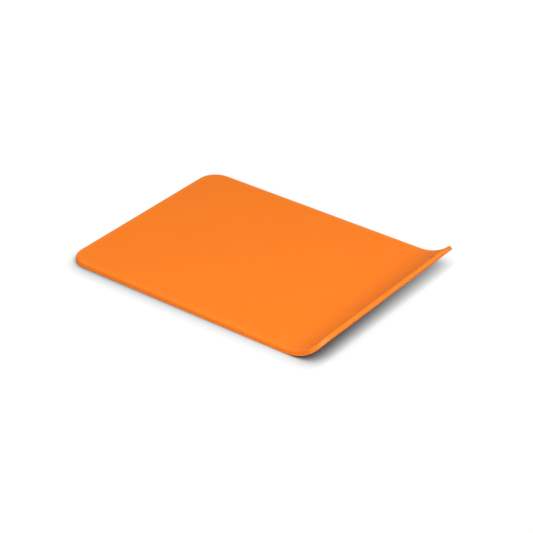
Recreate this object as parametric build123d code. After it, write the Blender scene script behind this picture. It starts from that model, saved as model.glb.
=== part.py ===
from build123d import *
import math
import os

# A flexible cutting mat: a firm cutting sheet bonded over its whole area to a soft grip
# backing, with rounded corners and one short end curled up into a lip.
# X runs along the mat towards the lip, Y across it and Z up. The origin is the middle of
# the footprint, on the underside.

# The mat laid out flat, measured halfway through its thickness
mat_length = 350.0
mat_width = 250.0
corner_radius = 22.5

# The two layers
cutting_thickness = 2.5
backing_thickness = 2.5

# The lip: the radius of its hollow face, and the degrees that it turns through
lip_radius = 52.0
lip_angle = 59.4

# The rims: rounded on top, nearly square below, with a fine groove where the layers meet
upper_edge_radius = 2.0
lower_edge_radius = 0.6
joint_groove = 0.15

# The most of its layer's thickness that a rounded edge may take
edge_limit_share = 0.85

# Where the mat bends, along its flat part
bend_line_share = 0.5

# Worked out from the sizes above
mat_thickness = backing_thickness + cutting_thickness
lip_turn = math.radians(lip_angle)
lip_centre_height = mat_thickness + lip_radius
flat_length = mat_length - (lip_radius + mat_thickness / 2) * lip_turn
upper_round = min(upper_edge_radius, edge_limit_share * cutting_thickness)
lower_round = min(lower_edge_radius, edge_limit_share * backing_thickness)

# The lip reaches furthest at the lower corner of its end, which is rounded
lip_reach = lip_centre_height * math.sin(lip_turn)
lip_rounding = lower_round * (math.sin(lip_turn) + math.cos(lip_turn) - 1)
flat_end_x = -(flat_length + lip_reach - lip_rounding) / 2
lip_start_x = flat_end_x + flat_length
bend_line_x = flat_end_x + bend_line_share * flat_length

# The planes that the outline is drawn in at each end: X points out of the mat there
flat_end = Plane(origin=(flat_end_x, 0, 0), x_dir=(-1, 0, 0), z_dir=(0, 0, 1))
lip_end = Plane(
    origin=(lip_start_x + lip_reach, 0, lip_centre_height * (1 - math.cos(lip_turn))),
    x_dir=(math.cos(lip_turn), 0, math.sin(lip_turn)),
    z_dir=(-math.sin(lip_turn), 0, math.cos(lip_turn)),
)
bend_plane = Plane(origin=(bend_line_x, 0, 0), z_dir=(1, 0, 0))


def side_profile(low, high):
    """Side view of a layer that lies between two heights above the underside."""
    centre = (lip_start_x, lip_centre_height)
    lower_flat = Line((flat_end_x, low), (lip_start_x, low))
    upper_flat = Line((flat_end_x, high), (lip_start_x, high))
    lower_curl = CenterArc(centre, lip_centre_height - low, -90, lip_angle)
    upper_curl = CenterArc(centre, lip_centre_height - high, -90, lip_angle)
    start = Line(lower_flat @ 0, upper_flat @ 0)
    end = Line(lower_curl @ 1, upper_curl @ 1)
    return Plane.XZ * make_face([lower_flat, lower_curl, end, upper_curl, upper_flat, start])


def corner_waste(end_plane):
    """What lies outside the two rounded corners of one end, square to the sheet there."""
    square_end = Rectangle(2 * corner_radius, mat_width, align=(Align.MAX, Align.CENTER))
    round_end = fillet(square_end.vertices().group_by(Axis.X)[-1], corner_radius)
    return extrude(end_plane * (square_end - round_end), amount=lip_centre_height, both=True)


def layer_blank(low, high):
    """A whole layer with rounded corners and sharp rims."""
    sheet = extrude(side_profile(low, high), amount=mat_width / 2, both=True)
    return sheet - corner_waste(flat_end) - corner_waste(lip_end)


def rim(sheet, place):
    """The edges round the top of a sheet at place 0, or round its underside at place -1."""
    flats = sheet.faces().filter_by(Axis.Z).sort_by(Axis.Z, reverse=True)
    rounds = sheet.faces().filter_by(GeomType.CYLINDER)
    curls = [face for face in rounds if face.axis_of_rotation.is_parallel(Axis.Y)]
    curls = sorted(curls, key=lambda face: face.radius)
    edges = flats[place].edges() + curls[place].edges()
    return [edge for edge in edges if sum(edge.is_same(other) for other in edges) == 1]


def cutting_layer():
    """The firm upper sheet, with a soft rounded rim."""
    sheet = layer_blank(backing_thickness, mat_thickness)
    sheet = fillet(rim(sheet, 0), upper_round)
    return chamfer(rim(sheet, -1), joint_groove)


def grip_backing():
    """The soft lower sheet, which the mat rests on."""
    sheet = layer_blank(0, backing_thickness)
    sheet = fillet(rim(sheet, -1), lower_round)
    return chamfer(rim(sheet, 0), joint_groove)


def main():
    os.makedirs("parts", exist_ok=True)
    layers = {"cutting_layer": cutting_layer(), "grip_backing": grip_backing()}
    for name, sheet in layers.items():
        lip_half, free_half = sheet.split(bend_plane, keep=Keep.BOTH)
        export_step(lip_half, f"parts/{name}_lip_half.step")
        export_step(free_half, f"parts/{name}_free_half.step")


main()
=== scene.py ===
"""The looks of a flexible cutting mat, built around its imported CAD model.

The mat is a firm cutting sheet bonded all over to a soft grip backing, with rounded corners
and one short end curled up into a lip. X runs along it towards the lip, and Z is up.
"""

import math

import bmesh
import bpy
from mathutils import Matrix, Vector


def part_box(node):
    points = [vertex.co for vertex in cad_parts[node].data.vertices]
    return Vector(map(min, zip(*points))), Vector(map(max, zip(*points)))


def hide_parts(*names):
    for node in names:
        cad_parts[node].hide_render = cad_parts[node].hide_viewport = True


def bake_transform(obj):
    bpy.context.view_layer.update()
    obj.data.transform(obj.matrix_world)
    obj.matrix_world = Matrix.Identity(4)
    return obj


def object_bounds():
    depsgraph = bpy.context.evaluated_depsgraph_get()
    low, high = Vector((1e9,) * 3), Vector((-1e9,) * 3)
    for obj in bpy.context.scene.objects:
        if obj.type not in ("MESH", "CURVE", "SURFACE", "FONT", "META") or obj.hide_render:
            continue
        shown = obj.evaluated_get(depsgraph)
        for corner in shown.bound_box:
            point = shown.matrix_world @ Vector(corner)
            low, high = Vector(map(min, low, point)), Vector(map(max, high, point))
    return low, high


bl_info = {
    "name": "Flexible Cutting Mat",
    "version": (1, 0, 0),
    "blender": (4, 5, 0),
    "location": "View3D > Sidebar > Cutting Mat",
    "description": "Makes a two-layer flexible cutting mat with a curled lip, and its stage",
    "category": "Add Mesh",
}

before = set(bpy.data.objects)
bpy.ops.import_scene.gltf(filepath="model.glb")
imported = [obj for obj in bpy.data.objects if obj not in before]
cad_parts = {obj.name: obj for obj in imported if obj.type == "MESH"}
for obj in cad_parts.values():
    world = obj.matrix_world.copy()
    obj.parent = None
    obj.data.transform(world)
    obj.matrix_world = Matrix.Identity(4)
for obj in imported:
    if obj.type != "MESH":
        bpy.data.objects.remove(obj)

# The CAD model's own sizes, in metres
CAD_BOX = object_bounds()
CUTTING_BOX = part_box("cutting_layer_free_half")
BACKING_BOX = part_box("grip_backing_free_half")
FLAT_END_X = CAD_BOX[0].x
BEND_X = CUTTING_BOX[1].x
MAT_WIDTH = CAD_BOX[1].y - CAD_BOX[0].y

# The attribute that tells where each vertex lies on the flat sheet
FLAT_PLACE = "flat_place"

# How closely a cut follows its place, and the digits within which two places are the same
CUT_TOLERANCE = 1e-6
PLACE_DIGITS = 7

# Bands of the two sheets' finish, by where they start and stop inside the flat outline, in metres
# The painted highlight: a light line just inside the upper rim
HIGHLIGHT_LINE_INNER_BAND = (-0.0085, -0.0035)
HIGHLIGHT_LINE_OUTER_BAND = (-0.0020, -0.0010)
# Painted shade on the rounded upper rim and the cutting sheet's wall
RIM_SHADE_BAND = (-0.0018, -0.0006)
# The lip's end on each sheet, painted paler as if lit from beyond the lip
LIT_END_CUTTING_BAND = (-0.0016, -0.0006)
LIT_END_BACKING_BAND = (-0.0010, -0.0004)
STUDS_BAND = (-0.0060, -0.0055)

# How far from the lip's end its painted lighter colour starts to show, and where it shows in full
LIP_END_START = 0.028
LIP_END_STOP = 0.008

# The painted highlight on the lip's end by one corner: its middle's distance from the lip's end
# and from the mat's side, and how far from that middle it starts to fade and is gone
STREAK_FROM_END = 0.0043
STREAK_FROM_SIDE = 0.0094
STREAK_BAND = (0.0025, 0.0085)

# The rim's painted shade is full this far above the joint, and has this share at the joint
RIM_SHADE_RISE = 0.0012
RIM_SHADE_LEAST_SHARE = 0.2

# Heights on the flat sheet over which the lip end's painted lighter colour sets in, and the studs
# leave off
LIT_END_BACKING_HEIGHTS = (0.0003, 0.0014)
UNDERSIDE_HEIGHTS = (0.0001, 0.0004)

# The soft noise in the two finishes: the span of it that counts, its patches and its detail
NOISE_SPAN = (0.3, 0.7)
CUTTING_MOTTLE_PATCH = 0.060
BACKING_MOTTLE_PATCH = 0.045
MOTTLE_DETAIL = 3.0
CUTTING_WEAR_PATCH = 0.025
BACKING_WEAR_PATCH = 0.018
WEAR_DETAIL = 4.0
CUTTING_WEAR_SWING = 0.04
BACKING_WEAR_SWING = 0.05

# The moulded grain, the polish of the painted highlight line, and how strongly both sheets shine
GRAIN_DETAIL = 2.0
GRAIN_ROUGHNESS = 0.6
BACKING_GRAIN_SIZE_SHARE = 1.4
BACKING_GRAIN_DEPTH_SHARE = 1.5
LINE_POLISH = 0.04
SHEET_SPECULAR = 0.14

# The studs of the underside: each one's edge fades between two shares of the pitch
STUD_HEIGHT = 0.0002
STUD_RADIUS_SHARES = (0.20, 0.34)
STUD_ROWS_ANGLE = math.radians(45)

# The floor and its shade
WHITE = (1.0, 1.0, 1.0, 1.0)
FLOOR_COLOUR = (0.7, 0.7, 0.7, 1.0)
FLOOR_ROUGHNESS = 0.9
SHADE_SAMPLES = 16
LEAST_SHADE_DEPTH = 0.3
UPRIGHT = (0.0, 0.0, 1.0)

# Each softbox's direction from the mat, its distance from it, and the length of its sides
FRONT_SOFTBOX = ((0.25, -0.43, 0.87), 1.2, 0.7)
LIP_SOFTBOX = ((0.79, 0.0, 0.62), 2.0, 1.17)
FILL_SOFTBOX = ((0.0, -0.99, 0.10), 1.6, 0.5)

# The camera's sensor in millimetres, and the nearest and farthest that it sees in metres
SENSOR_WIDTH = 36.0
NEAREST_SEEN = 0.05
FARTHEST_SEEN = 50.0


class MatSizes(bpy.types.PropertyGroup):
    """The sizes of the mat and of its mesh."""

    mat_length: bpy.props.FloatProperty(
        name="Mat length",
        description="Length of the mat laid out flat, halfway through its thickness",
        default=0.350,
        subtype="DISTANCE",
        unit="LENGTH",
    )
    mat_width: bpy.props.FloatProperty(
        name="Mat width",
        description="Width of the mat, across the direction in which it curls",
        default=MAT_WIDTH,
        subtype="DISTANCE",
        unit="LENGTH",
    )
    corner_radius: bpy.props.FloatProperty(
        name="Corner radius",
        description="Radius of the four corners of the outline",
        default=0.0225,
        subtype="DISTANCE",
        unit="LENGTH",
    )
    backing_thickness: bpy.props.FloatProperty(
        name="Backing thickness",
        description="Thickness of the soft grip backing",
        default=BACKING_BOX[1].z - BACKING_BOX[0].z,
        subtype="DISTANCE",
        unit="LENGTH",
    )
    cutting_thickness: bpy.props.FloatProperty(
        name="Cutting thickness",
        description="Thickness of the firm cutting sheet",
        default=CUTTING_BOX[1].z - CUTTING_BOX[0].z,
        subtype="DISTANCE",
        unit="LENGTH",
    )
    lip_radius: bpy.props.FloatProperty(
        name="Lip radius",
        description="Radius of the hollow face of the lip",
        default=0.052,
        subtype="DISTANCE",
        unit="LENGTH",
    )
    lip_angle: bpy.props.FloatProperty(
        name="Lip angle",
        description="How far the lip turns up",
        default=math.radians(59.4),
        subtype="ANGLE",
        unit="ROTATION",
    )
    upper_edge_radius: bpy.props.FloatProperty(
        name="Upper edge radius",
        description="Rounding of the cutting sheet's upper rim",
        default=0.0020,
        subtype="DISTANCE",
        unit="LENGTH",
    )
    lower_edge_radius: bpy.props.FloatProperty(
        name="Lower edge radius",
        description="Rounding of the backing's lower rim",
        default=0.0006,
        subtype="DISTANCE",
        unit="LENGTH",
    )
    joint_groove: bpy.props.FloatProperty(
        name="Joint groove",
        description="Depth of the fine groove where the two layers meet",
        default=0.00015,
        subtype="DISTANCE",
        unit="LENGTH",
    )
    bend_towards_lip: bpy.props.FloatProperty(
        name="Bend towards the lip",
        description="How far the soft bend reaches from the bend line towards the lip",
        default=0.014,
        subtype="DISTANCE",
        unit="LENGTH",
    )
    bend_towards_end: bpy.props.FloatProperty(
        name="Bend towards the flat end",
        description="How far the soft bend reaches from the bend line towards the flat end",
        default=0.015,
        subtype="DISTANCE",
        unit="LENGTH",
    )
    corner_steps: bpy.props.IntProperty(
        name="Corner steps",
        description="Faces round each corner of the outline",
        default=16,
        min=4,
    )
    rim_steps: bpy.props.IntProperty(
        name="Rim steps",
        description="Faces round each rounded rim",
        default=8,
        min=2,
    )
    lip_steps: bpy.props.IntProperty(
        name="Lip steps",
        description="Faces along the curl of the lip",
        default=30,
        min=8,
    )
    bend_steps: bpy.props.IntProperty(
        name="Bend steps",
        description="Faces along the part that bends",
        default=30,
        min=8,
    )
    flat_steps: bpy.props.IntProperty(
        name="Flat steps",
        description="Faces along the whole mat, in its flat parts",
        default=14,
        min=1,
    )


class MatFinish(bpy.types.PropertyGroup):
    """The colours and the grain of the two layers."""

    cutting_colour: bpy.props.FloatVectorProperty(
        name="Cutting colour",
        description="Colour of the cutting sheet",
        default=(0.990, 0.2215, 0.0125),
        size=3,
        min=0,
        max=1,
        subtype="COLOR",
    )
    cutting_deep_colour: bpy.props.FloatVectorProperty(
        name="Cutting deep colour",
        description="Colour of the cutting sheet where its pigment lies deepest",
        default=(0.980, 0.2165, 0.0120),
        size=3,
        min=0,
        max=1,
        subtype="COLOR",
    )
    # A painted highlight: the light line just inside the upper rim
    highlight_line_colour: bpy.props.FloatVectorProperty(
        name="Line colour",
        description="Colour of the light line just inside the upper rim",
        default=(0.980, 0.239, 0.0190),
        size=3,
        min=0,
        max=1,
        subtype="COLOR",
    )
    # Painted shade: the rounded upper rim, coloured deeper where it turns away from the light
    rim_shade_colour: bpy.props.FloatVectorProperty(
        name="Rim colour",
        description="Colour of the rounded upper rim, which is a little deeper",
        default=(0.875, 0.188, 0.0078),
        size=3,
        min=0,
        max=1,
        subtype="COLOR",
    )
    # Painted light: the lip's end, painted paler as if lit from beyond the lip
    lit_end_colour: bpy.props.FloatVectorProperty(
        name="End colour",
        description="Colour of the lip's end, which fingers rub the most",
        default=(0.930, 0.236, 0.0205),
        size=3,
        min=0,
        max=1,
        subtype="COLOR",
    )
    # A painted highlight: the pale streak on the lip's end by one corner
    highlight_streak_colour: bpy.props.FloatVectorProperty(
        name="Hold colour",
        description="Colour of the lip's end by one corner, where it is rubbed the palest",
        default=(0.930, 0.281, 0.0620),
        size=3,
        min=0,
        max=1,
        subtype="COLOR",
    )
    backing_colour: bpy.props.FloatVectorProperty(
        name="Backing colour",
        description="Colour of the grip backing",
        default=(0.980, 0.204, 0.0068),
        size=3,
        min=0,
        max=1,
        subtype="COLOR",
    )
    backing_deep_colour: bpy.props.FloatVectorProperty(
        name="Backing deep colour",
        description="Colour of the grip backing where its pigment lies deepest",
        default=(0.970, 0.198, 0.0063),
        size=3,
        min=0,
        max=1,
        subtype="COLOR",
    )
    cutting_roughness: bpy.props.FloatProperty(
        name="Cutting roughness",
        description="Roughness of the cutting sheet's satin surface",
        default=0.58,
        min=0,
        max=1,
        subtype="FACTOR",
    )
    backing_roughness: bpy.props.FloatProperty(
        name="Backing roughness",
        description="Roughness of the backing's rubbery surface",
        default=0.66,
        min=0,
        max=1,
        subtype="FACTOR",
    )
    grain_size: bpy.props.FloatProperty(
        name="Grain size",
        description="Size of the moulded grain",
        default=0.0007,
        precision=5,
        subtype="DISTANCE",
        unit="LENGTH",
    )
    grain_depth: bpy.props.FloatProperty(
        name="Grain depth",
        description="Depth of the moulded grain",
        default=0.00002,
        precision=6,
        subtype="DISTANCE",
        unit="LENGTH",
    )
    stud_pitch: bpy.props.FloatProperty(
        name="Grip stud pitch",
        description="Distance between the fine grip studs on the underside",
        default=0.004,
        precision=4,
        subtype="DISTANCE",
        unit="LENGTH",
    )


class MatStage(bpy.types.PropertyGroup):
    """The camera, the floor and the light."""

    camera_target: bpy.props.FloatVectorProperty(
        name="Camera target",
        description="The point of the floor in the middle of the picture",
        default=(0.008266, -0.002745, 0.0),
        size=3,
        subtype="TRANSLATION",
        unit="LENGTH",
    )
    camera_distance: bpy.props.FloatProperty(
        name="Camera distance",
        description="Distance from the camera to its target",
        default=1.99953,
        subtype="DISTANCE",
        unit="LENGTH",
    )
    camera_azimuth: bpy.props.FloatProperty(
        name="Camera azimuth",
        description="How far the camera stands round towards the lip",
        default=math.radians(37.783),
        subtype="ANGLE",
        unit="ROTATION",
    )
    camera_elevation: bpy.props.FloatProperty(
        name="Camera elevation",
        description="How far the camera looks down",
        default=math.radians(31.301),
        subtype="ANGLE",
        unit="ROTATION",
    )
    camera_roll: bpy.props.FloatProperty(
        name="Camera roll",
        description="How far the camera leans to one side",
        default=math.radians(-0.2587),
        subtype="ANGLE",
        unit="ROTATION",
    )
    camera_lens: bpy.props.FloatProperty(
        name="Camera lens",
        description="Focal length, for a sensor 36 mm wide",
        default=124.75,
        unit="CAMERA",
    )
    floor_size: bpy.props.FloatProperty(
        name="Floor size",
        description="Length of the floor's sides",
        default=12.0,
        subtype="DISTANCE",
        unit="LENGTH",
    )
    sky_strength: bpy.props.FloatProperty(
        name="Sky strength",
        description="Strength of the even light from all round",
        default=0.415,
        min=0,
    )
    front_power: bpy.props.FloatProperty(
        name="Front light power",
        description="Power of the softbox high on the camera's side",
        default=7.0,
        min=0,
        unit="POWER",
    )
    lip_power: bpy.props.FloatProperty(
        name="Lip light power",
        description="Power of the softbox beyond the lip",
        default=15.5,
        min=0,
        unit="POWER",
    )
    fill_power: bpy.props.FloatProperty(
        name="Fill light power",
        description="Power of the low softbox that faces the mat's long side",
        default=3.6,
        min=0,
        unit="POWER",
    )
    shade_reach: bpy.props.FloatProperty(
        name="Shade reach",
        description="How far the soft shade round the mat reaches over the floor",
        default=0.017,
        precision=4,
        subtype="DISTANCE",
        unit="LENGTH",
    )
    shade_depth: bpy.props.FloatProperty(
        name="Shade depth",
        description="How dark the shade grows under the mat",
        default=1.46,
        min=0,
    )
    shade_power: bpy.props.FloatProperty(
        name="Shade power",
        description="How much of the shade keeps close to the mat",
        default=0.93,
        min=0.1,
    )
    shade_lean: bpy.props.FloatVectorProperty(
        name="Shade lean",
        description="The way up for the shade, which leans towards the lightest side",
        default=(-0.43, 0.25, 1.0),
        size=3,
    )
    shade_fade: bpy.props.FloatVectorProperty(
        name="Shade fade",
        description="How much shallower the shade grows per metre along each axis",
        default=(5.0, 0.0, 0.0),
        size=3,
    )
    core_reach: bpy.props.FloatProperty(
        name="Core reach",
        description="How far the deep core of the shade reaches, under the lip",
        default=0.030,
        precision=4,
        subtype="DISTANCE",
        unit="LENGTH",
    )
    core_depth: bpy.props.FloatProperty(
        name="Core depth",
        description="How dark the core of the shade grows",
        default=4.22,
        min=0,
    )
    core_power: bpy.props.FloatProperty(
        name="Core power",
        description="How closely the core keeps to the places that the mat covers most",
        default=5.0,
        min=0.1,
    )
    core_fade: bpy.props.FloatVectorProperty(
        name="Core fade",
        description="How much shallower the core grows per metre along each axis",
        default=(0.0, 22.0, 0.0),
        size=3,
    )
    lamp_share: bpy.props.FloatProperty(
        name="Lamp share",
        description="Share of the floor's look that comes from the lamps' own shadows",
        default=0.02,
        min=0,
        max=1,
        subtype="FACTOR",
    )
    white_level: bpy.props.FloatProperty(
        name="White level",
        description="How white the floor looks where no shade falls",
        default=1.02,
        min=0,
    )


def thickness(sizes):
    """Thickness of the whole mat."""
    return sizes.backing_thickness + sizes.cutting_thickness


def lip_length(sizes):
    """Length of the curled part, halfway through its thickness."""
    return (sizes.lip_radius + thickness(sizes) / 2) * sizes.lip_angle


def lip_start(sizes):
    """Where the curl starts, along X."""
    return FLAT_END_X + sizes.mat_length - lip_length(sizes)


def steps_between(first, last, steps):
    """Evenly spaced places from first to last."""
    return [first + (last - first) * i / steps for i in range(steps + 1)]


def cut_across(bm, places):
    """Cuts every face that crosses one of these places along X."""
    for x in places:
        everything = bm.verts[:] + bm.edges[:] + bm.faces[:]
        bmesh.ops.bisect_plane(
            bm, geom=everything, dist=CUT_TOLERANCE, plane_co=(x, 0, 0), plane_no=(1, 0, 0)
        )


def rim_edges(bm, side):
    """The edges between the walls and the top (side 1) or the underside (side -1)."""
    found = []
    for edge in bm.edges:
        facing = sorted(round(face.normal.z) for face in edge.link_faces)
        if facing == sorted((0, side)):
            found.append(edge)
    return found


def round_rim(bm, side, size, steps):
    """Rounds the rim on one side, or cuts it off slanting if steps is 1."""
    bmesh.ops.bevel(
        bm,
        geom=rim_edges(bm, side),
        offset=size,
        offset_type="OFFSET",
        affect="EDGES",
        segments=steps,
        profile=0.5,
        material=-1,
    )


def flat_outline(sizes, height):
    """The mat's outline laid out flat at a height: one face with rounded corners."""
    bm = bmesh.new()
    bmesh.ops.create_grid(bm, x_segments=1, y_segments=1, size=0.5)
    bmesh.ops.scale(bm, vec=(sizes.mat_length, sizes.mat_width, 1), verts=bm.verts)
    middle = FLAT_END_X + sizes.mat_length / 2
    bmesh.ops.translate(bm, vec=(middle, 0, height), verts=bm.verts)
    bmesh.ops.bevel(
        bm,
        geom=bm.verts[:],
        offset=sizes.corner_radius,
        offset_type="OFFSET",
        affect="VERTICES",
        segments=sizes.corner_steps,
        profile=0.5,
        material=-1,
    )
    return bm


def flat_sheet(sizes, low, high):
    """A layer laid out flat between two heights, with sharp rims, cut where it curls or bends."""
    bm = flat_outline(sizes, high)
    corner_places = sorted({round(vertex.co.x, PLACE_DIGITS) for vertex in bm.verts})
    cut_across(bm, corner_places[1:-1])
    flat_stop = FLAT_END_X + sizes.mat_length
    cut_across(bm, steps_between(lip_start(sizes), flat_stop, sizes.lip_steps)[:-1])
    bend = (BEND_X + sizes.bend_towards_lip, BEND_X - sizes.bend_towards_end)
    cut_across(bm, steps_between(*bend, sizes.bend_steps))
    cut_across(bm, steps_between(FLAT_END_X, flat_stop, sizes.flat_steps)[1:-1])
    grown = bmesh.ops.extrude_face_region(bm, geom=bm.faces[:])["geom"]
    lower = [part for part in grown if isinstance(part, bmesh.types.BMVert)]
    bmesh.ops.translate(bm, vec=(0, 0, low - high), verts=lower)
    bmesh.ops.recalc_face_normals(bm, faces=bm.faces)
    return bm


def keep_flat_place(bm):
    """Writes where each vertex lies on the flat sheet, so that a pattern follows the surface."""
    layer = bm.verts.layers.float_vector.new(FLAT_PLACE)
    for vertex in bm.verts:
        vertex[layer] = vertex.co


def curl_lip(bm, sizes):
    """Rolls the end of the flat sheet up round the lip's centre line."""
    start = lip_start(sizes)
    centre = Vector((start, 0, thickness(sizes) + sizes.lip_radius))
    radius = sizes.lip_radius + thickness(sizes) / 2
    for vertex in bm.verts:
        beyond = vertex.co.x - start
        if beyond > 0:
            bmesh.ops.translate(bm, vec=(-beyond, 0, 0), verts=[vertex])
            turn = Matrix.Rotation(-beyond / radius, 3, "Y")
            bmesh.ops.rotate(bm, cent=centre, matrix=turn, verts=[vertex])


def finish_piece(bm, name, material):
    """Turns the sheet into an object in place of the CAD model's two halves, which it hides."""
    mesh = bpy.data.meshes.new(name)
    for face in bm.faces:
        face.smooth = True
    bm.to_mesh(mesh)
    bm.free()
    mesh.materials.append(material)
    piece = bpy.data.objects.new(name, mesh)
    bpy.context.scene.collection.objects.link(piece)
    weigh = piece.modifiers.new("Weighted Normal", "WEIGHTED_NORMAL")
    weigh.mode = "FACE_AREA"
    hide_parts(name + "_lip_half", name + "_free_half")
    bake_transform(piece)
    return piece


def add_node(tree, kind, inputs=None, **settings):
    """Adds a shader node. Each input is a constant or the output that feeds it."""
    node = tree.nodes.new(kind)
    for name, value in settings.items():
        setattr(node, name, value)
    for name, value in (inputs or {}).items():
        if isinstance(value, bpy.types.NodeSocket):
            tree.links.new(value, node.inputs[name])
        else:
            node.inputs[name].default_value = value
    return node


def math_node(tree, operation, *values):
    """The result of a sum on one or two values."""
    inputs = dict(enumerate(values))
    return add_node(tree, "ShaderNodeMath", inputs, operation=operation).outputs[0]


def multiply(tree, product, *factors):
    """The product of two or more values."""
    for factor in factors:
        product = math_node(tree, "MULTIPLY", product, factor)
    return product


def vector_node(tree, operation, *values):
    """A Vector Math node on one or two values."""
    inputs = dict(enumerate(values))
    return add_node(tree, "ShaderNodeVectorMath", inputs, operation=operation)


def noise(tree, place, size, detail, roughness=0.5):
    """Soft noise from 0 to 1, with patches of about this size in metres."""
    inputs = {"Vector": place, "Scale": 1 / size, "Detail": detail, "Roughness": roughness}
    return add_node(tree, "ShaderNodeTexNoise", inputs).outputs[0]


def ramp(tree, value, low, high, to_low=0.0, to_high=1.0):
    """Maps a value smoothly from one range to another, and holds it at the ends."""
    inputs = {
        "Value": value,
        "From Min": low,
        "From Max": high,
        "To Min": to_low,
        "To Max": to_high,
    }
    node = add_node(tree, "ShaderNodeMapRange", inputs, interpolation_type="SMOOTHSTEP")
    return node.outputs[0]


def mix_colours(tree, share, first, second):
    """Mixes two colours, which are the Mix node's inputs 6 and 7 and its output 2."""
    inputs = {0: share, 6: first, 7: second}
    return add_node(tree, "ShaderNodeMix", inputs, data_type="RGBA").outputs[2]


def mix_shaders(tree, share, first, second):
    """Mixes two shaders."""
    inputs = {0: share, 1: first.outputs[0], 2: second.outputs[0]}
    return add_node(tree, "ShaderNodeMixShader", inputs)


def opaque(colour):
    """A colour property as a socket takes it."""
    return (*colour, 1.0)


def sheet_place(tree):
    """Where a point lies on the flat sheet: the whole place, how far along, and how high."""
    attribute = add_node(
        tree, "ShaderNodeAttribute", attribute_name=FLAT_PLACE, attribute_type="GEOMETRY"
    )
    place = attribute.outputs["Vector"]
    parts = add_node(tree, "ShaderNodeSeparateXYZ", {0: place}).outputs
    return place, parts["X"], parts["Z"]


def outline_distance(tree, place, sizes):
    """How far a point of the flat sheet lies inside the outline, as a negative distance."""
    radius = sizes.corner_radius
    centre = (FLAT_END_X + sizes.mat_length / 2, 0, 0)
    core = (sizes.mat_length / 2 - radius, sizes.mat_width / 2 - radius, 0)
    level = vector_node(tree, "MULTIPLY", place, (1, 1, 0)).outputs[0]
    across = vector_node(tree, "SUBTRACT", level, centre).outputs[0]
    across = vector_node(tree, "ABSOLUTE", across).outputs[0]
    across = vector_node(tree, "SUBTRACT", across, core).outputs[0]
    outer = vector_node(tree, "MAXIMUM", across, (0, 0, 0)).outputs[0]
    outer = vector_node(tree, "LENGTH", outer).outputs["Value"]
    parts = add_node(tree, "ShaderNodeSeparateXYZ", {0: across}).outputs
    inner = math_node(tree, "MAXIMUM", parts["X"], parts["Y"])
    inner = math_node(tree, "MINIMUM", inner, 0.0)
    return math_node(tree, "SUBTRACT", math_node(tree, "ADD", outer, inner), radius)


def lip_end_share(tree, along, sizes):
    """1 at the end of the lip, fading to 0 further in."""
    lip_end = FLAT_END_X + sizes.mat_length
    return ramp(tree, along, lip_end - LIP_END_START, lip_end - LIP_END_STOP)


def painted_end_light(tree, place, finish, sizes):
    """The lip end's colour, painted paler as if lit, and paler still by one corner with a painted
    highlight.
    """
    # Painted highlight: a pale streak on the lip's end by one corner, fading round its middle
    middle = (
        FLAT_END_X + sizes.mat_length - STREAK_FROM_END,
        STREAK_FROM_SIDE - sizes.mat_width / 2,
        sizes.backing_thickness,
    )
    away = vector_node(tree, "DISTANCE", place, middle).outputs["Value"]
    highlight_share = ramp(tree, away, *STREAK_BAND, 1.0, 0.0)
    return mix_colours(tree, highlight_share, opaque(finish.lit_end_colour), opaque(finish.highlight_streak_colour))


def mottled_colour(tree, place, patch, deep_colour, colour):
    """A colour that drifts softly between two, in patches of about this size."""
    share = ramp(tree, noise(tree, place, patch, MOTTLE_DETAIL), *NOISE_SPAN)
    return mix_colours(tree, share, opaque(deep_colour), opaque(colour))


def uneven_roughness(tree, place, patch, middle, swing):
    """A roughness that drifts to either side of its middle, in patches of about this size."""
    wear = noise(tree, place, patch, WEAR_DETAIL)
    return ramp(tree, wear, *NOISE_SPAN, middle - swing, middle + swing)


def raised(tree, height, distance, ground=None):
    """The normal of a surface that this height raises by up to a distance."""
    inputs = {"Height": height, "Strength": 1.0, "Distance": distance}
    if ground is not None:
        inputs["Normal"] = ground
    return add_node(tree, "ShaderNodeBump", inputs).outputs[0]


def grip_studs(tree, place, height, edge, pitch):
    """1 on the round studs of the underside, which stop short of the outline, and 0 elsewhere."""
    turned = add_node(
        tree, "ShaderNodeMapping", {"Vector": place, "Rotation": (0, 0, STUD_ROWS_ANGLE)}
    )
    cells = add_node(
        tree,
        "ShaderNodeTexVoronoi",
        {"Vector": turned.outputs[0], "Scale": 1 / pitch, "Randomness": 0.0},
        voronoi_dimensions="2D",
    )
    studs = ramp(tree, cells.outputs["Distance"], *STUD_RADIUS_SHARES, 1.0, 0.0)
    underside = ramp(tree, height, *UNDERSIDE_HEIGHTS, 1.0, 0.0)
    inside = ramp(tree, edge, *STUDS_BAND, 1.0, 0.0)
    return multiply(tree, studs, underside, inside)


def new_material(name):
    """A material with only an output and a Principled shader."""
    material = bpy.data.materials.new(name)
    material.use_nodes = True
    tree = material.node_tree
    tree.nodes.clear()
    output = add_node(tree, "ShaderNodeOutputMaterial")
    shader = add_node(tree, "ShaderNodeBsdfPrincipled")
    tree.links.new(shader.outputs[0], output.inputs["Surface"])
    return material, tree, shader


def dress_shader(tree, shader, colour, roughness, normal):
    """Gives a sheet's shader its colour, roughness and grain."""
    tree.links.new(colour, shader.inputs["Base Color"])
    tree.links.new(roughness, shader.inputs["Roughness"])
    tree.links.new(normal, shader.inputs["Normal"])
    shader.inputs["Specular IOR Level"].default_value = SHEET_SPECULAR


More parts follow.
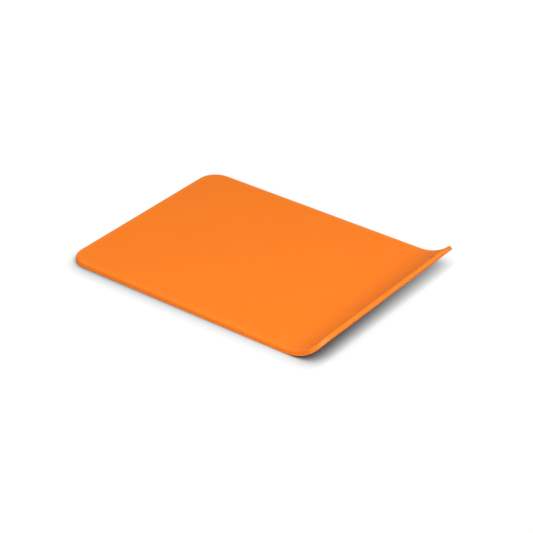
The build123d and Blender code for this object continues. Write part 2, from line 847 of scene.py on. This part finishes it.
def cutting_material(finish, sizes):
    """Satin plastic with a fine grain, a painted highlight line inside its rim, painted shade on
    the rim, and a lip end painted paler as if lit.
    """
    material, tree, shader = new_material("satin_cutting_sheet")
    place, along, height = sheet_place(tree)
    edge = outline_distance(tree, place, sizes)
    lip_end = lip_end_share(tree, along, sizes)
    elsewhere = math_node(tree, "SUBTRACT", 1.0, lip_end)
    # Painted highlight: a light line just inside the upper rim, kept off the lip's end
    line_inside = ramp(tree, edge, *HIGHLIGHT_LINE_INNER_BAND)
    line_outside = ramp(tree, edge, *HIGHLIGHT_LINE_OUTER_BAND, 1.0, 0.0)
    line = multiply(tree, line_inside, line_outside, elsewhere)
    joint = sizes.backing_thickness
    # Painted shade on the rounded rim and the wall, fading towards the joint and kept off the
    # lip's end
    above_joint = ramp(tree, height, joint, joint + RIM_SHADE_RISE, RIM_SHADE_LEAST_SHARE, 1.0)
    rim = multiply(tree, ramp(tree, edge, *RIM_SHADE_BAND), above_joint, elsewhere)
    # Painted light: the lip's end painted paler, as if lit
    lightened = multiply(tree, ramp(tree, edge, *LIT_END_CUTTING_BAND), lip_end)
    colour = mottled_colour(
        tree, place, CUTTING_MOTTLE_PATCH, finish.cutting_deep_colour, finish.cutting_colour
    )
    colour = mix_colours(tree, line, colour, opaque(finish.highlight_line_colour))
    colour = mix_colours(tree, rim, colour, opaque(finish.rim_shade_colour))
    colour = mix_colours(tree, lightened, colour, painted_end_light(tree, place, finish, sizes))
    roughness = uneven_roughness(
        tree, place, CUTTING_WEAR_PATCH, finish.cutting_roughness, CUTTING_WEAR_SWING
    )
    roughness = math_node(tree, "SUBTRACT", roughness, multiply(tree, line, LINE_POLISH))
    grain = noise(tree, place, finish.grain_size, GRAIN_DETAIL, GRAIN_ROUGHNESS)
    dress_shader(tree, shader, colour, roughness, raised(tree, grain, finish.grain_depth))
    return material


def backing_material(finish, sizes):
    """Soft rubber with a fine grain all over and shallow grip studs on its underside."""
    material, tree, shader = new_material("soft_grip_backing")
    place, along, height = sheet_place(tree)
    edge = outline_distance(tree, place, sizes)
    # Painted light: the backing's part of the lip's end painted paler, as if lit, above its lowest
    # edge
    lightened = multiply(
        tree,
        ramp(tree, edge, *LIT_END_BACKING_BAND),
        lip_end_share(tree, along, sizes),
        ramp(tree, height, *LIT_END_BACKING_HEIGHTS),
    )
    colour = mottled_colour(
        tree, place, BACKING_MOTTLE_PATCH, finish.backing_deep_colour, finish.backing_colour
    )
    colour = mix_colours(tree, lightened, colour, painted_end_light(tree, place, finish, sizes))
    roughness = uneven_roughness(
        tree, place, BACKING_WEAR_PATCH, finish.backing_roughness, BACKING_WEAR_SWING
    )
    studs = grip_studs(tree, place, height, edge, finish.stud_pitch)
    grain_size = finish.grain_size * BACKING_GRAIN_SIZE_SHARE
    grain_depth = finish.grain_depth * BACKING_GRAIN_DEPTH_SHARE
    grain = noise(tree, place, grain_size, GRAIN_DETAIL, GRAIN_ROUGHNESS)
    normal = raised(tree, grain, grain_depth, ground=raised(tree, studs, STUD_HEIGHT))
    dress_shader(tree, shader, colour, roughness, normal)
    return material


def shade_layer(tree, reach, up, depth, fade, power):
    """One layer of the floor's shade: the deeper, the more the mat covers a point."""
    normal = vector_node(tree, "NORMALIZE", tuple(up)).outputs[0]
    opening = add_node(
        tree,
        "ShaderNodeAmbientOcclusion",
        {"Distance": reach, "Normal": normal},
        samples=SHADE_SAMPLES,
    )
    covered = math_node(tree, "SUBTRACT", 1.0, opening.outputs["AO"])
    place = add_node(tree, "ShaderNodeTexCoord").outputs["Object"]
    less = vector_node(tree, "DOT_PRODUCT", place, tuple(fade)).outputs["Value"]
    deepest = math_node(tree, "SUBTRACT", depth, less)
    deepest = math_node(tree, "MAXIMUM", deepest, LEAST_SHADE_DEPTH)
    return multiply(tree, deepest, math_node(tree, "POWER", covered, power))


def floor_material(settings):
    """Pale paper, which the camera sees as white wherever no shade falls."""
    material, tree, shader = new_material("pale_floor")
    shader.inputs["Base Color"].default_value = FLOOR_COLOUR
    shader.inputs["Roughness"].default_value = FLOOR_ROUGHNESS
    shader.inputs["Specular IOR Level"].default_value = 0.0
    soft = shade_layer(
        tree,
        settings.shade_reach,
        settings.shade_lean,
        settings.shade_depth,
        settings.shade_fade,
        settings.shade_power,
    )
    core = shade_layer(
        tree,
        settings.core_reach,
        UPRIGHT,
        settings.core_depth,
        settings.core_fade,
        settings.core_power,
    )
    darkening = multiply(tree, math_node(tree, "ADD", soft, core), -1.0)
    light = multiply(tree, math_node(tree, "EXPONENT", darkening), settings.white_level)
    glow = add_node(tree, "ShaderNodeEmission", {"Color": WHITE, "Strength": light})
    paper = add_node(tree, "ShaderNodeBsdfDiffuse", {"Color": WHITE})
    seen = mix_shaders(tree, settings.lamp_share, glow, paper)
    path = add_node(tree, "ShaderNodeLightPath")
    either = mix_shaders(tree, path.outputs["Is Camera Ray"], shader, seen)
    output = tree.nodes["Material Output"]
    tree.links.new(either.outputs[0], output.inputs["Surface"])
    return material


class MAT_OT_cutting_layer(bpy.types.Operator):
    """Make the firm cutting sheet, with its rounded upper rim"""

    bl_idname = "cutting_mat.cutting_layer"
    bl_label = "Cutting Layer"

    def execute(self, context):
        sizes = context.scene.mat_sizes
        bm = flat_sheet(sizes, sizes.backing_thickness, thickness(sizes))
        round_rim(bm, 1, sizes.upper_edge_radius, sizes.rim_steps)
        round_rim(bm, -1, sizes.joint_groove, 1)
        keep_flat_place(bm)
        curl_lip(bm, sizes)
        material = cutting_material(context.scene.mat_finish, sizes)
        finish_piece(bm, "cutting_layer", material)
        return {"FINISHED"}


class MAT_OT_grip_backing(bpy.types.Operator):
    """Make the soft grip backing, which the mat rests on"""

    bl_idname = "cutting_mat.grip_backing"
    bl_label = "Grip Backing"

    def execute(self, context):
        sizes = context.scene.mat_sizes
        bm = flat_sheet(sizes, 0.0, sizes.backing_thickness)
        round_rim(bm, -1, sizes.lower_edge_radius, max(2, sizes.rim_steps // 2))
        round_rim(bm, 1, sizes.joint_groove, 1)
        keep_flat_place(bm)
        curl_lip(bm, sizes)
        material = backing_material(context.scene.mat_finish, sizes)
        finish_piece(bm, "grip_backing", material)
        return {"FINISHED"}


class MAT_OT_stage(bpy.types.Operator):
    """Make the white floor, the soft light and the camera"""

    bl_idname = "cutting_mat.stage"
    bl_label = "Stage"

    def execute(self, context):
        settings = context.scene.mat_stage
        add_floor(settings)
        add_sky(settings)
        add_softbox("front_softbox", settings.front_power, *FRONT_SOFTBOX)
        add_softbox("lip_softbox", settings.lip_power, *LIP_SOFTBOX)
        add_softbox("fill_softbox", settings.fill_power, *FILL_SOFTBOX)
        add_camera(settings)
        context.scene.view_settings.view_transform = "Standard"
        return {"FINISHED"}


def add_floor(settings):
    """A plain white floor under the mat."""
    bm = bmesh.new()
    bmesh.ops.create_grid(bm, x_segments=1, y_segments=1, size=settings.floor_size / 2)
    mesh = bpy.data.meshes.new("floor")
    bm.to_mesh(mesh)
    bm.free()
    mesh.materials.append(floor_material(settings))
    floor = bpy.data.objects.new("floor", mesh)
    bpy.context.scene.collection.objects.link(floor)


def add_sky(settings):
    """A faint even sky, which the camera sees as white."""
    world = bpy.data.worlds.new("studio_sky")
    world.use_nodes = True
    tree = world.node_tree
    tree.nodes.clear()
    path = add_node(tree, "ShaderNodeLightPath")
    seen = path.outputs["Is Camera Ray"]
    strength = add_node(
        tree, "ShaderNodeMapRange", {"Value": seen, "To Min": settings.sky_strength, "To Max": 1.0}
    )
    background = add_node(
        tree, "ShaderNodeBackground", {"Color": WHITE, "Strength": strength.outputs[0]}
    )
    output = add_node(tree, "ShaderNodeOutputWorld")
    tree.links.new(background.outputs[0], output.inputs["Surface"])
    bpy.context.scene.world = world


def add_softbox(name, power, towards, distance, side):
    """A square softbox that faces the mat from a direction and a distance."""
    lamp = bpy.data.lights.new(name, "AREA")
    lamp.energy = power
    lamp.shape = "SQUARE"
    lamp.size = side
    towards = Vector(towards).normalized()
    softbox = bpy.data.objects.new(name, lamp)
    softbox.location = towards * distance
    softbox.visible_camera = False
    softbox.rotation_euler = towards.to_track_quat("Z", "Y").to_euler()
    bpy.context.scene.collection.objects.link(softbox)


def add_camera(settings):
    """A long lens at the photograph's angle."""
    data = bpy.data.cameras.new("photo_camera")
    data.sensor_width = SENSOR_WIDTH
    data.lens = settings.camera_lens
    data.clip_start = NEAREST_SEEN
    data.clip_end = FARTHEST_SEEN
    camera = bpy.data.objects.new("photo_camera", data)
    turn = (
        Matrix.Rotation(settings.camera_azimuth, 4, "Z")
        @ Matrix.Rotation(math.pi / 2 - settings.camera_elevation, 4, "X")
        @ Matrix.Rotation(settings.camera_roll, 4, "Z")
    )
    back = turn @ Vector((0, 0, settings.camera_distance))
    place = Vector(settings.camera_target) + back
    camera.matrix_world = Matrix.Translation(place) @ turn
    bpy.context.scene.collection.objects.link(camera)
    bpy.context.scene.camera = camera


class VIEW3D_PT_cutting_mat(bpy.types.Panel):
    """The steps that make the mat, with the values they use"""

    bl_label = "Cutting Mat"
    bl_space_type = "VIEW_3D"
    bl_region_type = "UI"
    bl_category = "Cutting Mat"

    def draw(self, context):
        scene = context.scene
        for group in (scene.mat_sizes, scene.mat_finish, scene.mat_stage):
            box = self.layout.box()
            for name in group.__annotations__:
                box.prop(group, name)
        for operator in OPERATORS:
            self.layout.operator(operator.bl_idname)


GROUPS = {"mat_sizes": MatSizes, "mat_finish": MatFinish, "mat_stage": MatStage}
OPERATORS = (MAT_OT_cutting_layer, MAT_OT_grip_backing, MAT_OT_stage)


def register():
    """Registers the classes, and gives each scene its settings."""
    for cls in (*GROUPS.values(), *OPERATORS, VIEW3D_PT_cutting_mat):
        bpy.utils.register_class(cls)
    for name, group in GROUPS.items():
        setattr(bpy.types.Scene, name, bpy.props.PointerProperty(type=group))


def unregister():
    """Takes the settings and the classes away again."""
    for name in GROUPS:
        delattr(bpy.types.Scene, name)
    for cls in reversed((*GROUPS.values(), *OPERATORS, VIEW3D_PT_cutting_mat)):
        bpy.utils.unregister_class(cls)


def main():
    """Makes every piece and the stage."""
    register()
    bpy.ops.cutting_mat.cutting_layer()
    bpy.ops.cutting_mat.grip_backing()
    bpy.ops.cutting_mat.stage()


if __name__ == "__main__":
    main()
